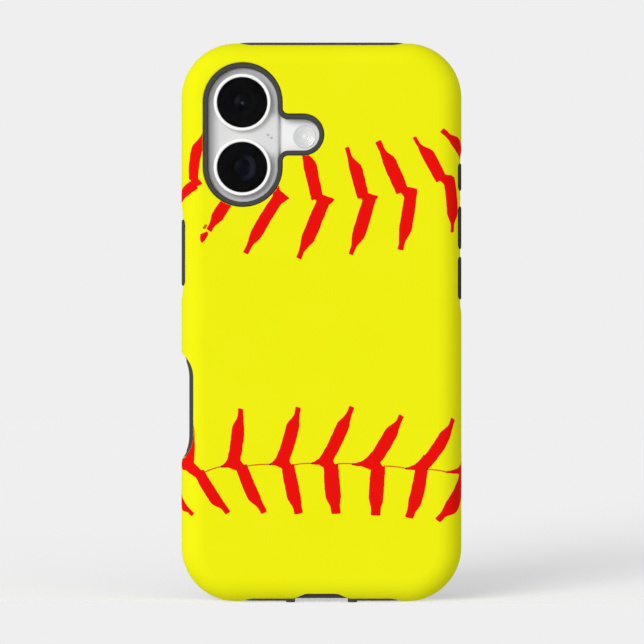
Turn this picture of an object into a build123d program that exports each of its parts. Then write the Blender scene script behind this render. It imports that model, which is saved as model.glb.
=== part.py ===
from build123d import *
from collections import namedtuple
import os

# A smartphone standing in a two-layer protective case: a hard printed shell over a soft liner.
# X runs to the right as seen from behind, Y from the case's back to the screen, Z up from the base.
# The origin is under the middle of the case, on the surface that it stands on.

os.makedirs("parts", exist_ok=True)

# Phone body
phone_width = 71.6
phone_height = 147.6
phone_depth = 7.8
phone_corner = 12.3
frame_wall = 1.8
frame_edge = 0.6
glass_gap = 0.05
insert_width = 1.2
insert_depth = 0.5
insert_gap = 0.03
insert_from_end = 12.8

# Case walls, from the phone outwards
fit_gap = 0.1
liner_side = 1.2
liner_end = 1.4
liner_back = 1.2
shell_side = 1.3
shell_end = 1.3
shell_back = 1.7
edge_round = 6.5
cavity_round = 3.5
lip_height = 1.0
lip_cover = 0.9
rim_depth = 1.7
rim_inset = 0.35
rim_round = 0.7
window_edge = 0.3
cut_over = 1.0

# Rear cameras, flash and the case's camera opening
lens_spacing = 17.7
lens_shift = 0.19
plateau_from_side = 4.23
plateau_from_top = 3.6
plateau_width = 20.2
plateau_rise = 1.2
plateau_edge = 1.0
opening_margin = 0.8
opening_fillet = 1.5
lobe_height = 11.44
collar_width = 1.3
collar_recess = 0.3
collar_edge = 0.35
ring_radius = 7.8
ring_rise = 1.5
ring_neck_radius = 7.0
ring_bore_radius = 6.3
ring_lap = 1.1
ring_edge = 0.25
cover_radius = 6.94
cover_depth = 0.55
cover_recess = 0.15
barrel_radius = 4.6
barrel_length = 5.1
barrel_clearance = 0.05
barrel_bore_radius = 1.8
mouth_radius = 3.9
mouth_depth = 0.5
focus_travel = 0.3
focus_gap = 0.15
element_radius = 2.3
element_seat = 0.8
element_rim = 0.5
element_crown = 0.5
sensor_width = 7.0
sensor_height = 5.4
sensor_depth = 0.4
housing_size = 14.8
housing_floor = 1.3
flash_offset = 16.87
flash_drop = 0.4
flash_radius = 3.05
flash_proud = 0.12
flash_to_tip = 5.4
flash_depth = 0.57
carrier_margin = 0.7
carrier_depth = 0.6
led_size = 2.2
led_depth = 0.2
mic_offset = 7.32
mic_drop = 0.4
mic_hole_radius = 0.35
mic_hole_across = 0.95
mic_hole_down = 0.8
mic_width = 3.0
mic_height = 1.7
mic_depth = 1.0

# Side buttons, with heights measured up from the phone's lower edge
power_height = 92.9
power_key_length = 15.4
power_pad_length = 18.4
action_height = 113.65
action_key_length = 5.4
action_pad_length = 7.7
volume_up_drop = 13.9
volume_down_drop = 13.8
volume_key_length = 9.6
volume_pad_length = 12.0
camera_key_height = 50.8
camera_key_length = 16.6
key_width = 2.8
key_proud = 0.35
key_gap = 0.1
key_travel = 0.3
key_edge = 0.2
key_seat_gap = 0.05
camera_key_recess = 0.05
flange_margin = 0.45
flange_depth = 0.5
switch_length = 4.4
switch_depth = 1.2
pad_from_back = 2.82
pad_width = 6.25
pad_corner = 1.3
pad_gap = 0.12
pad_depth = 0.8
pad_proud = 0.27
pad_edge = 0.4
scoop_depth = 0.45
scoop_ease = 3.6
scoop_margin = 0.9
notch_half_length = 7.9
notch_ease = 6.8
notch_depth = 3.5
notch_liner_depth = 2.3
notch_window_width = 5.6
notch_window_margin = 1.6

# Openings at the case's top and bottom, and the phone's lower edge
top_window_half = 22.9
top_window_from_back = 3.57
bottom_window_half = 22.4
bottom_window_from_back = 2.95
window_corner = 4.0
fill_recess = 0.45
foot_middle = 8.5
foot_width = 2.5
port_notch_half = 7.7
port_notch_floor_half = 4.7
port_notch_from_back = 1.36
port_notch_height = 1.18
port_slot_length = 13.2
port_slot_width = 6.8
port_width = 8.34
port_height = 2.56
port_length = 6.6
tongue_width = 6.69
tongue_height = 0.7
tongue_length = 4.9
speaker_holes = 5
speaker_hole_radius = 0.7
speaker_pitch = 1.9
speaker_middle = 15.8
speaker_slot_length = 10.0
speaker_slot_width = 3.0
speaker_mesh_depth = 0.15
speaker_mesh_margin = 0.4
screw_offset = 8.6
screw_head_radius = 0.75
screw_head_depth = 0.5
screw_radius = 0.45
screw_length = 3.0
screw_gap = 0.05

# Screen
glass_depth = 0.75
display_glass_inset = 0.5
display_glass_edge = 0.35
back_glass_depth = 0.7
back_glass_inset = 0.7
midplate_depth = 0.4
panel_depth = 0.8
panel_inset = 1.0
earpiece_length = 12.0
earpiece_width = 0.6
earpiece_from_top = 1.9
mesh_depth = 0.4
front_camera_offset = 4.2
front_camera_gap = 0.3
front_lens_radius = 1.5
front_lens_gap = 0.1
front_body_radius = 2.7
front_body_depth = 3.2

# Parts inside the phone
battery_from_side = 4.9
battery_from_bottom = 18.0
battery_gap = 1.7
board_depth = 0.8
board_width = 19.0
board_arm_width = 36.0
board_from_side = 5.0
board_from_bottom = 30.0
board_gap = 2.3
shield_wall = 0.25
shield_margin = 1.5
shield_height = 60.0
shield_depth = 2.6
coil_inner_radius = 10.0
coil_outer_radius = 21.5
coil_depth = 0.4
magnet_count = 18
magnet_from_coil = 1.5
magnet_width = 4.0
magnet_depth = 0.55
magnet_gap = 0.8
layer_gap = 0.15
speaker_box_height = 15.0
speaker_box_depth = 4.2
speaker_box_gap = 0.2
speaker_screw_gap = 2.75
haptic_width = 20.0
haptic_height = 8.4
haptic_depth = 3.8
haptic_wall = 0.4
haptic_travel = 0.5
haptic_clearance = 0.15
haptic_from_side = 4.8
haptic_from_bottom = 5.7
bottom_mic_width = 7.0
bottom_mic_height = 1.2
bottom_mic_depth = 2.6
earpiece_box_width = 15.0
earpiece_box_height = 3.2
earpiece_box_depth = 3.6

# Case outline and the depths of its layers
case_width = phone_width + 2 * (fit_gap + liner_side + fit_gap + shell_side)
case_height = phone_height + 2 * (fit_gap + liner_end + fit_gap + shell_end)
case_corner = phone_corner + fit_gap + liner_side + fit_gap + shell_side
case_depth = shell_back + fit_gap + liner_back + fit_gap + phone_depth + fit_gap + lip_height
case_back = -case_depth / 2
case_front = case_depth / 2
shell_inside = case_back + shell_back
liner_outside = shell_inside + fit_gap
liner_inside = liner_outside + liner_back
phone_back = liner_inside + fit_gap
phone_front = phone_back + phone_depth
phone_middle = phone_back + phone_depth / 2
rim_back = case_front - rim_depth
shell_front = rim_back - fit_gap
middle_height = case_height / 2
phone_bottom = middle_height - phone_height / 2
phone_top = middle_height + phone_height / 2
phone_flank = phone_width / 2
liner_flank = phone_flank + fit_gap + liner_side
case_flank = case_width / 2
glass_inner = phone_back + back_glass_depth
display_glass_back = phone_front - glass_depth
panel_front = display_glass_back - glass_gap
panel_back = panel_front - panel_depth
midplate_back = panel_back - midplate_depth
pocket_flank = phone_flank - frame_wall
pocket_bottom = phone_bottom + frame_wall
pocket_top = phone_top - frame_wall
plateau_length = plateau_width + lens_spacing
opening_width = plateau_width + 2 * opening_margin
opening_length = opening_width + lens_spacing
opening_x = plateau_from_side + plateau_width / 2 - phone_flank
opening_z = phone_top - plateau_from_top - plateau_length / 2
lens_x = opening_x - lens_shift
lens_heights = {"upper": opening_z + lens_spacing / 2, "lower": opening_z - lens_spacing / 2}
flash_x = opening_x + flash_offset
flash_z = opening_z - flash_drop
plateau_top = phone_back - plateau_rise
ring_top = plateau_top - ring_rise
cover_top = ring_top + cover_recess
cover_bottom = cover_top + cover_depth
ring_bottom = glass_inner + ring_lap
housing_back = ring_bottom + glass_gap
bore_floor = midplate_back - housing_floor
barrel_top = cover_bottom + focus_travel + focus_gap
barrel_bottom = barrel_top + barrel_length
element_back = barrel_top + mouth_depth + element_seat
mic_x = opening_x + mic_offset
mic_z = opening_z - mic_drop
front_camera_z = pocket_top - earpiece_box_height - front_camera_gap - front_body_radius
flange_outer = pocket_flank - key_gap
flange_inner = flange_outer - flange_depth
switch_outer = flange_inner - key_travel - key_gap
key_face = phone_flank + key_proud
pad_y = case_back + pad_from_back + pad_width / 2
pad_face = case_flank - scoop_depth + pad_proud
pad_inner = pad_face - pad_depth
top_window_back = case_back + top_window_from_back
bottom_window_back = case_back + bottom_window_from_back
port_notch_back = case_back + port_notch_from_back
foot_inner = foot_middle - foot_width / 2
foot_back = bottom_window_back + fit_gap
foot_front = rim_back + foot_width / 2
port_wall = midplate_back - phone_middle - port_height / 2
speaker_box_right = pocket_flank - speaker_box_gap
speaker_box_width = speaker_box_right - screw_offset - screw_radius - speaker_screw_gap
magnet_inner_radius = coil_outer_radius + magnet_from_coil
magnet_outer_radius = magnet_inner_radius + magnet_width
board_right = phone_flank - board_from_side
board_top = front_camera_z - front_body_radius - board_gap
battery_left = battery_from_side - phone_flank
battery_bottom = phone_bottom + battery_from_bottom
battery_right = board_right - board_width - battery_gap
battery_top = lens_heights["lower"] - housing_size / 2 - battery_gap

# The buttons: their sides, their heights above the base and their lengths, with no pad on the camera key
Button = namedtuple("Button", "name side height key_length pad_length")
action_z = phone_bottom + action_height
volume_up_z = action_z - volume_up_drop
volume_down_z = volume_up_z - volume_down_drop
power_button = Button("power", -1, phone_bottom + power_height, power_key_length, power_pad_length)
action_button = Button("action", 1, action_z, action_key_length, action_pad_length)
volume_up_button = Button("volume_up", 1, volume_up_z, volume_key_length, volume_pad_length)
volume_down_button = Button("volume_down", 1, volume_down_z, volume_key_length, volume_pad_length)
camera_button = Button("camera", -1, phone_bottom + camera_key_height, camera_key_length, None)
padded_buttons = [power_button, action_button, volume_up_button, volume_down_button]
buttons = padded_buttons + [camera_button]
scoop_runs = [[power_button], [action_button], [volume_up_button, volume_down_button]]


def rear_view(y):
    """Plane at depth y as seen from behind: local x is X, local y is Z, and it faces the back."""
    return Plane(origin=(0, y, 0), x_dir=(1, 0, 0), z_dir=(0, -1, 0))


def side_view(side, x):
    """Plane x out from the middle on one side: local x is side times Y, local y is Z, facing out."""
    return Plane(origin=(side * x, 0, 0), x_dir=(0, side, 0), z_dir=(side, 0, 0))


def axis_plane(x, z):
    """Plane for turned profiles about an axis along Y: local x is the radius, local y is Y."""
    return Plane(origin=(x, 0, z), x_dir=(1, 0, 0), z_dir=(0, 0, 1))


def depth_axis(x, z):
    """Axis along Y through a point of the back."""
    return Axis((x, 0, z), (0, 1, 0))


def case_layer(side_inset, end_inset):
    """Width, height and corner radius of the case's outline, drawn in by the walls' thicknesses."""
    return case_width - 2 * side_inset, case_height - 2 * end_inset, case_corner - side_inset


def phone_layer(inset):
    """Width, height and corner radius of the phone's outline, drawn in by inset."""
    return phone_width - 2 * inset, phone_height - 2 * inset, phone_corner - inset


def outline(y, layer):
    """A layer's rounded rectangle, round the phone's middle at depth y."""
    width, height, corner = layer
    with BuildSketch(rear_view(y)) as sketch:
        with Locations((0, middle_height)):
            RectangleRounded(width, height, corner)
    return sketch.sketch


def camera_opening(y, inset):
    """The case's camera opening, drawn in by inset: an upright pill with a lobe for the flash."""
    lobe_tip = flash_x + flash_to_tip - inset
    lobe_half = lobe_height / 2 - inset
    pill_edge = opening_x + opening_width / 2 - inset
    tolerance = inset / 2 + fit_gap
    with BuildSketch(rear_view(y)) as sketch:
        with Locations((opening_x, opening_z)):
            SlotOverall(opening_length - 2 * inset, opening_width - 2 * inset, rotation=90)
        with Locations(((opening_x + lobe_tip) / 2, opening_z)):
            SlotOverall(lobe_tip - opening_x, 2 * lobe_half)
        corners = sketch.vertices().filter_by_position(Axis.X, pill_edge - fit_gap, pill_edge + fit_gap)
        low, high = opening_z - lobe_half - tolerance, opening_z + lobe_half + tolerance
        fillet(corners.filter_by_position(Axis.Y, low, high), opening_fillet + inset)
    return sketch.sketch


def end_window(z, half_width, back, inset):
    """Outline, seen along Z, of an end window: open to the front, with rounded corners at the back."""
    with BuildSketch(Plane.XY.offset(z)) as sketch:
        with Locations((0, back + inset)):
            Rectangle(2 * (half_width - inset), rim_back - back - inset, align=(Align.CENTER, Align.MIN))
        fillet(sketch.vertices().group_by(Axis.Y)[0], window_corner - inset)
    return sketch.sketch


def port_notch(z, half_width):
    """Outline, seen along Z, of the deeper notch round the charging port, open to the front."""
    front = case_front + cut_over
    with BuildSketch(Plane.XY.offset(z)) as sketch:
        with BuildLine():
            Polyline(
                (-half_width, front),
                (-half_width, bottom_window_back),
                (-port_notch_floor_half, port_notch_back),
                (port_notch_floor_half, port_notch_back),
                (half_width, bottom_window_back),
                (half_width, front),
                close=True,
            )
        make_face()
        fillet(sketch.vertices().group_by(Axis.Y)[0], window_corner)
    return sketch.sketch


def flank_hollow(y, side, low, high, depth, ease):
    """Hollow in one flank, seen from behind: flat from low to high, easing out to the flank beyond."""
    edge, floor = case_flank, case_flank - depth
    halfway = (edge + floor) / 2
    outside = edge + cut_over
    with BuildSketch(rear_view(y)) as sketch:
        with BuildLine():
            lead_in = TangentArc((side * edge, low - ease), (side * halfway, low - ease / 2), tangent=(0, 1))
            TangentArc(lead_in @ 1, (side * floor, low), tangent=lead_in % 1)
            Line((side * floor, low), (side * floor, high))
            lead_out = TangentArc((side * floor, high), (side * halfway, high + ease / 2), tangent=(0, 1))
            TangentArc(lead_out @ 1, (side * edge, high + ease), tangent=lead_out % 1)
            Polyline(
                (side * edge, high + ease),
                (side * outside, high + ease),
                (side * outside, low - ease),
                (side * edge, low - ease),
            )
        make_face()
    return sketch.sketch


def finger_hollow(y, side, low, high, depth, ease):
    """Hollow in one flank, seen from behind: flat from low to high, with one arc out to the flank at each end."""
    edge, floor = case_flank, case_flank - depth
    outside = edge + cut_over
    with BuildSketch(rear_view(y)) as sketch:
        with BuildLine():
            TangentArc((side * floor, low), (side * edge, low - ease), tangent=(0, -1))
            Line((side * floor, low), (side * floor, high))
            TangentArc((side * floor, high), (side * edge, high + ease), tangent=(0, 1))
            Polyline(
                (side * edge, high + ease),
                (side * outside, high + ease),
                (side * outside, low - ease),
                (side * edge, low - ease),
            )
        make_face()
    return sketch.sketch


def plateau_outline(y, margin):
    """The camera plateau's upright pill at depth y, grown by margin."""
    with BuildSketch(rear_view(y)) as sketch:
        with Locations((opening_x, opening_z)):
            SlotOverall(plateau_length + 2 * margin, plateau_width + 2 * margin, rotation=90)
    return sketch.sketch


def port_outline(z, margin):
    """The charging port's mouth, seen along Z at height z, grown by margin."""
    with BuildSketch(Plane.XY.offset(z)) as sketch:
        with Locations((0, phone_middle)):
            SlotOverall(port_width + 2 * margin, port_height + 2 * margin)
    return sketch.sketch


def key_outline(button, x, margin):
    """A key's rounded outline on the phone's flank, grown by margin."""
    with BuildSketch(side_view(button.side, x)) as sketch:
        with Locations((button.side * phone_middle, button.height)):
            SlotOverall(button.key_length + 2 * margin, key_width + 2 * margin, rotation=90)
    return sketch.sketch


def pad_outline(button, x, inset):
    """A case button's rounded outline on the case's flank, drawn in by inset."""
    with BuildSketch(side_view(button.side, x)) as sketch:
        with Locations((button.side * pad_y, button.height)):
            RectangleRounded(pad_width - 2 * inset, button.pad_length - 2 * inset, pad_corner - inset)
    return sketch.sketch


def scoops(extra_depth):
    """The flank hollows in the case round its buttons, one for each run of neighbouring pads."""
    y = case_front + cut_over
    for run in scoop_runs:
        low = min(button.height - button.pad_length / 2 for button in run) - scoop_margin
        high = max(button.height + button.pad_length / 2 for button in run) + scoop_margin
        yield flank_hollow(y, run[0].side, low, high, scoop_depth + extra_depth, scoop_ease)


def camera_notch(depth):
    """The finger notch beside the camera key, through the whole depth of the case."""
    low = camera_button.height - notch_half_length
    high = camera_button.height + notch_half_length
    return finger_hollow(case_front + cut_over, camera_button.side, low, high, depth, notch_ease)


def edges_at(part, y):
    """The part's edges that lie flat at depth y."""
    tolerance = glass_gap / 2
    return part.edges().filter_by_position(Axis.Y, y - tolerance, y + tolerance)


def near_opening(edge):
    """Whether an edge runs round the camera opening."""
    middle = edge.center()
    across = opening_x - opening_width < middle.X < flash_x + flash_to_tip + fit_gap
    return across and abs(middle.Z - opening_z) < opening_length / 2 + fit_gap


def save(piece, name):
    """Labels a finished piece and writes it."""
    piece.part.label = name
    export_step(piece.part, f"parts/{name}.step")


through_case = case_depth + 2 * cut_over

# Hard outer shell, which carries the print
with BuildPart() as shell_cavity:
    extrude(outline(shell_front, case_layer(shell_side, shell_end)), amount=shell_front - shell_inside)
    fillet(shell_cavity.faces().sort_by(Axis.Y)[0].edges(), cavity_round)

with BuildPart() as outer_shell:
    extrude(outline(shell_front, case_layer(0, 0)), amount=shell_front - case_back)
    fillet(outer_shell.faces().sort_by(Axis.Y)[0].edges(), edge_round)
    add(shell_cavity.part, mode=Mode.SUBTRACT)
    extrude(camera_opening(shell_inside + cut_over, 0), amount=shell_back + 2 * cut_over, mode=Mode.SUBTRACT)
    opening_edges = edges_at(outer_shell, case_back).filter_by(near_opening)
    fillet(opening_edges, window_edge)
    top_window = end_window(case_height - edge_round, top_window_half, top_window_back, 0)
    extrude(top_window, amount=edge_round + cut_over, mode=Mode.SUBTRACT)
    bottom_window = end_window(-cut_over, bottom_window_half, bottom_window_back, 0)
    extrude(bottom_window, amount=cut_over + edge_round, mode=Mode.SUBTRACT)
    shell_notch = port_notch(-cut_over, port_notch_half)
    extrude(shell_notch, amount=cut_over + phone_bottom - fit_gap, mode=Mode.SUBTRACT)
    for scoop in scoops(0):
        extrude(scoop, amount=through_case, mode=Mode.SUBTRACT)
    for button in padded_buttons:
        pad_window = pad_outline(button, liner_flank - edge_round, 0)
        extrude(pad_window, amount=2 * edge_round, mode=Mode.SUBTRACT)
    extrude(camera_notch(notch_depth), amount=through_case, mode=Mode.SUBTRACT)
save(outer_shell, "outer_shell")

# Soft inner liner, with its front rim, camera collar, the fills in the shell's end windows and two feet
with BuildPart() as phone_space:
    extrude(outline(phone_front + fit_gap, phone_layer(-fit_gap)), amount=phone_depth + 2 * fit_gap)
    fillet(phone_space.faces().sort_by(Axis.Y)[0].edges(), frame_edge + fit_gap)

with BuildPart() as inner_liner:
    liner_layer = case_layer(shell_side + fit_gap, shell_end + fit_gap)
    extrude(outline(rim_back, liner_layer), amount=rim_back - liner_outside)
    fillet(inner_liner.faces().sort_by(Axis.Y)[0].edges(), cavity_round - fit_gap)
    extrude(outline(case_front, case_layer(rim_inset, rim_inset)), amount=rim_depth)
    fillet(edges_at(inner_liner, case_front), rim_round)
    top_fill = end_window(phone_top + fit_gap, top_window_half, top_window_back, fit_gap)
    extrude(top_fill, amount=case_height - phone_top - fit_gap)
    bottom_fill = end_window(fill_recess, bottom_window_half, bottom_window_back, fit_gap)
    extrude(bottom_fill, amount=phone_bottom - fit_gap - fill_recess)
    with BuildSketch(Plane.XY):
        foot_y = (foot_back + foot_front) / 2
        with Locations((-foot_middle, foot_y), (foot_middle, foot_y)):
            SlotOverall(foot_front - foot_back, foot_width, rotation=90)
    extrude(amount=phone_bottom - fit_gap)
    extrude(camera_opening(liner_inside, fit_gap), amount=liner_inside - case_back - collar_recess)
    collar_hole = camera_opening(liner_inside + cut_over, fit_gap + collar_width)
    extrude(collar_hole, amount=liner_inside - case_back + cut_over, mode=Mode.SUBTRACT)
    fillet(edges_at(inner_liner, case_back + collar_recess), collar_edge)
    add(phone_space.part, mode=Mode.SUBTRACT)
    extrude(plateau_outline(phone_back, fit_gap), amount=plateau_rise + fit_gap, mode=Mode.SUBTRACT)
    screen_hole = outline(case_front + cut_over, phone_layer(lip_cover))
    extrude(screen_hole, amount=lip_height + 2 * cut_over, mode=Mode.SUBTRACT)
    liner_notch = port_notch(-cut_over, foot_inner)
    extrude(liner_notch, amount=cut_over + port_notch_height, mode=Mode.SUBTRACT)
    with BuildSketch(Plane.XY.offset(-cut_over)):
        with Locations((0, phone_middle)):
            RectangleRounded(port_slot_length, port_slot_width, port_slot_width / 3)
        with Locations((-speaker_middle, phone_middle), (speaker_middle, phone_middle)):
            SlotOverall(speaker_slot_length, speaker_slot_width)
    extrude(amount=cut_over + phone_bottom, mode=Mode.SUBTRACT)
    for scoop in scoops(rim_inset):
        extrude(scoop, amount=cut_over + rim_depth, mode=Mode.SUBTRACT)
    for button in padded_buttons:
        extrude(key_outline(button, phone_flank, 2 * key_gap), amount=edge_round, mode=Mode.SUBTRACT)
    extrude(camera_notch(notch_liner_depth), amount=through_case, mode=Mode.SUBTRACT)
    with BuildSketch(side_view(camera_button.side, phone_flank)):
        with Locations((camera_button.side * phone_middle, camera_button.height)):
            window_length = camera_button.key_length + 2 * notch_window_margin
            SlotOverall(window_length, notch_window_width, rotation=90)
    extrude(amount=edge_round, mode=Mode.SUBTRACT)
save(inner_liner, "inner_liner")

# Side buttons: the phone's keys, and the case's pads that press on them
for button in buttons:
    outermost = -1 if button.side > 0 else 0
    head_end = key_face if button.pad_length else phone_flank - camera_key_recess
    with BuildPart() as key:
        extrude(key_outline(button, flange_inner, flange_margin), amount=flange_depth)
        extrude(key_outline(button, flange_outer, 0), amount=head_end - flange_outer)
        fillet(key.faces().sort_by(Axis.X)[outermost].edges(), key_edge)
    save(key, f"{button.name}_key")
    if button.pad_length:
        boss_start = key_face + key_seat_gap
        with BuildPart() as pad:
            extrude(pad_outline(button, pad_inner, pad_gap), amount=pad_depth)
            fillet(pad.faces().sort_by(Axis.X)[outermost].edges(), pad_edge)
            extrude(key_outline(button, boss_start, 0), amount=pad_inner - boss_start)
        save(pad, f"{button.name}_pad")

with BuildPart() as button_switches:
    for button in buttons:
        with BuildSketch(side_view(button.side, switch_outer - switch_depth)):
            with Locations((button.side * midplate_back, button.height)):
                inward = Align.MAX if button.side > 0 else Align.MIN
                Rectangle(key_width, switch_length, align=(inward, Align.CENTER))
        extrude(amount=switch_depth)
save(button_switches, "button_switches")

# Phone frame: the band, the plate between the screen and the works, and every opening in them
with BuildPart() as phone_frame:
    extrude(outline(phone_front, phone_layer(0)), amount=phone_depth)
    fillet(phone_frame.faces().sort_by(Axis.Y)[0].edges(), frame_edge)
    fillet(phone_frame.faces().sort_by(Axis.Y)[-1].edges(), frame_edge)
    back_seat = outline(glass_inner, phone_layer(back_glass_inset - glass_gap))
    extrude(back_seat, amount=back_glass_depth + cut_over, mode=Mode.SUBTRACT)
    pocket = outline(midplate_back, phone_layer(frame_wall))
    extrude(pocket, amount=midplate_back - phone_back, mode=Mode.SUBTRACT)
    front_seat = outline(phone_front + cut_over, phone_layer(display_glass_inset - glass_gap))
    extrude(front_seat, amount=phone_front + cut_over - panel_back, mode=Mode.SUBTRACT)
    for button in buttons:
        key_slot = key_outline(button, pocket_flank - cut_over, key_gap)
        extrude(key_slot, amount=frame_wall + 2 * cut_over, mode=Mode.SUBTRACT)
    port_mouth = port_outline(phone_bottom - cut_over, port_wall + glass_gap)
    extrude(port_mouth, amount=cut_over + frame_wall, mode=Mode.SUBTRACT)
    with BuildSketch(Plane.XY.offset(phone_bottom - cut_over)):
        for side in (-1, 1):
            with Locations((side * speaker_middle, phone_middle)):
                with GridLocations(speaker_pitch, 0, speaker_holes, 1):
                    Circle(speaker_hole_radius)
            with Locations((side * screw_offset, phone_middle)):
                Circle(screw_radius + screw_gap)
    extrude(amount=cut_over + frame_wall, mode=Mode.SUBTRACT)
    with BuildSketch(Plane.XY.offset(phone_bottom - cut_over)):
        with Locations((-screw_offset, phone_middle), (screw_offset, phone_middle)):
            Circle(screw_head_radius + screw_gap)
    extrude(amount=cut_over + screw_head_depth, mode=Mode.SUBTRACT)
    with BuildSketch(rear_view(panel_back)):
        with Locations((-front_camera_offset, front_camera_z), (front_camera_offset, front_camera_z)):
            Circle(front_lens_radius + front_lens_gap)
    extrude(amount=midplate_depth, mode=Mode.SUBTRACT)
    with BuildSketch(rear_view(phone_front + cut_over)):
        for height in (phone_bottom + insert_from_end, phone_top - insert_from_end):
            for side in (-1, 1):
                with Locations((side * (phone_flank - insert_depth + cut_over), height)):
                    Rectangle(2 * cut_over, insert_width)
    extrude(amount=phone_depth + 2 * cut_over, mode=Mode.SUBTRACT)
save(phone_frame, "phone_frame")

# Plastic antenna inserts, let into the band's flanks: bars across the phone, cut down to its outermost layer
with BuildPart() as band_hoop:
    extrude(outline(phone_front, phone_layer(0)), amount=phone_depth)
    fillet(band_hoop.faces().sort_by(Axis.Y)[0].edges(), frame_edge)
    fillet(band_hoop.faces().sort_by(Axis.Y)[-1].edges(), frame_edge)
    hoop_hole = outline(phone_front + cut_over, phone_layer(insert_depth - insert_gap))
    extrude(hoop_hole, amount=phone_depth + 2 * cut_over, mode=Mode.SUBTRACT)

with BuildPart() as antenna_inserts:
    with BuildSketch(rear_view(phone_front + cut_over)):
        with Locations((0, phone_bottom + insert_from_end), (0, phone_top - insert_from_end)):
            Rectangle(phone_width + 2 * cut_over, insert_width - 2 * insert_gap)
    extrude(amount=phone_depth + 2 * cut_over)
    add(band_hoop.part, mode=Mode.INTERSECT)
save(antenna_inserts, "antenna_inserts")

# Back glass, with the raised camera plateau
with BuildPart() as back_glass:
    extrude(outline(glass_inner, phone_layer(back_glass_inset)), amount=back_glass_depth)
    extrude(plateau_outline(phone_back, 0), amount=plateau_rise)
    fillet(back_glass.faces().sort_by(Axis.Y)[0].edges(), plateau_edge)
    with BuildSketch(rear_view(glass_inner)):
        with Locations(*[(lens_x, height) for height in lens_heights.values()]):
            Circle(ring_neck_radius + glass_gap)
        with Locations((flash_x, flash_z)):
            Circle(flash_radius + glass_gap)
        with Locations((mic_x, mic_z)):
            with Locations(
                (-mic_hole_across / 2, mic_hole_down / 2),
                (mic_hole_across / 2, -mic_hole_down / 2),
            ):
                Circle(mic_hole_radius)
    extrude(amount=back_glass_depth + plateau_rise, mode=Mode.SUBTRACT)
save(back_glass, "back_glass")

# Screen: cover glass, panel, gasket and the earpiece's mesh
with BuildPart() as display_glass:
    extrude(outline(phone_front, phone_layer(display_glass_inset)), amount=glass_depth)
    fillet(display_glass.faces().sort_by(Axis.Y)[-1].edges(), display_glass_edge)
    with BuildSketch(rear_view(phone_front)):
        with Locations((0, phone_top - earpiece_from_top)):
            SlotOverall(earpiece_length, earpiece_width)
    extrude(amount=glass_depth, mode=Mode.SUBTRACT)
save(display_glass, "display_glass")

with BuildPart() as display_panel:
    extrude(outline(panel_front, phone_layer(display_glass_inset + panel_inset)), amount=panel_depth)
    with BuildSketch(rear_view(panel_front)):
        with Locations((-front_camera_offset, front_camera_z), (front_camera_offset, front_camera_z)):
            Circle(front_lens_radius + front_lens_gap)
    extrude(amount=panel_depth, mode=Mode.SUBTRACT)
save(display_panel, "display_panel")

with BuildPart() as display_gasket:
    gasket_depth = display_glass_back - panel_back
    extrude(outline(display_glass_back, phone_layer(display_glass_inset)), amount=gasket_depth)
    gasket_hole = outline(display_glass_back, phone_layer(display_glass_inset + panel_inset - glass_gap))
    extrude(gasket_hole, amount=gasket_depth, mode=Mode.SUBTRACT)
save(display_gasket, "display_gasket")

with BuildPart() as earpiece_mesh:
    with BuildSketch(rear_view(display_glass_back + mesh_depth)):
        with Locations((0, phone_top - earpiece_from_top)):
            SlotOverall(earpiece_length - 2 * glass_gap, earpiece_width - 2 * glass_gap)
    extrude(amount=mesh_depth)
save(earpiece_mesh, "earpiece_mesh")

# Rear cameras: for each, a trim ring, a cover, a focusing barrel with its lens, and a housing
for name, height in lens_heights.items():
    turning_axis = depth_axis(lens_x, height)
    with BuildPart() as lens_ring:
        with BuildSketch(axis_plane(lens_x, height)):
            with BuildLine():
                Polyline(
                    (ring_bore_radius, ring_bottom),
                    (ring_neck_radius, ring_bottom),
                    (ring_neck_radius, plateau_top),
                    (ring_radius, plateau_top),
                    (ring_radius, ring_top),
                    (cover_radius + glass_gap, ring_top),
                    (cover_radius + glass_gap, cover_bottom + glass_gap),
                    (ring_bore_radius, cover_bottom + glass_gap),
                    close=True,
                )
            make_face()
        revolve(axis=turning_axis)
        fillet(edges_at(lens_ring, ring_top).sort_by(SortBy.LENGTH)[-1], ring_edge)
    save(lens_ring, f"{name}_lens_ring")

    with BuildPart() as lens_cover:
        with BuildSketch(rear_view(cover_bottom)):
            with Locations((lens_x, height)):
                Circle(cover_radius)
        extrude(amount=cover_depth)
    save(lens_cover, f"{name}_lens_cover")

    with BuildPart() as lens_barrel:
        with BuildSketch(axis_plane(lens_x, height)):
            with BuildLine():
                Polyline(
                    (barrel_bore_radius, barrel_bottom),
                    (barrel_radius, barrel_bottom),
                    (barrel_radius, barrel_top),
                    (mouth_radius, barrel_top),
                    (element_radius + glass_gap, barrel_top + mouth_depth),
                    (element_radius + glass_gap, element_back),
                    (barrel_bore_radius, element_back),
                    close=True,
                )
            make_face()
        revolve(axis=turning_axis)
    save(lens_barrel, f"{name}_lens_barrel")

    with BuildPart() as lens_element:
        rim_top = element_back - element_rim
        with BuildSketch(axis_plane(lens_x, height)):
            with BuildLine():
                crown = TangentArc((0, rim_top - element_crown), (element_radius, rim_top), tangent=(1, 0))
                Polyline(crown @ 1, (element_radius, element_back), (0, element_back), crown @ 0)
            make_face()
        revolve(axis=turning_axis)
    save(lens_element, f"{name}_lens_element")

    with BuildPart() as camera_housing:
        with BuildSketch(rear_view(midplate_back)):
            with Locations((lens_x, height)):
                Rectangle(housing_size, housing_size)
        extrude(amount=midplate_back - housing_back)
        with BuildSketch(rear_view(bore_floor)):
            with Locations((lens_x, height)):
                Circle(barrel_radius + barrel_clearance)
        extrude(amount=bore_floor - housing_back, mode=Mode.SUBTRACT)
    save(camera_housing, f"{name}_camera_housing")

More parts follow.
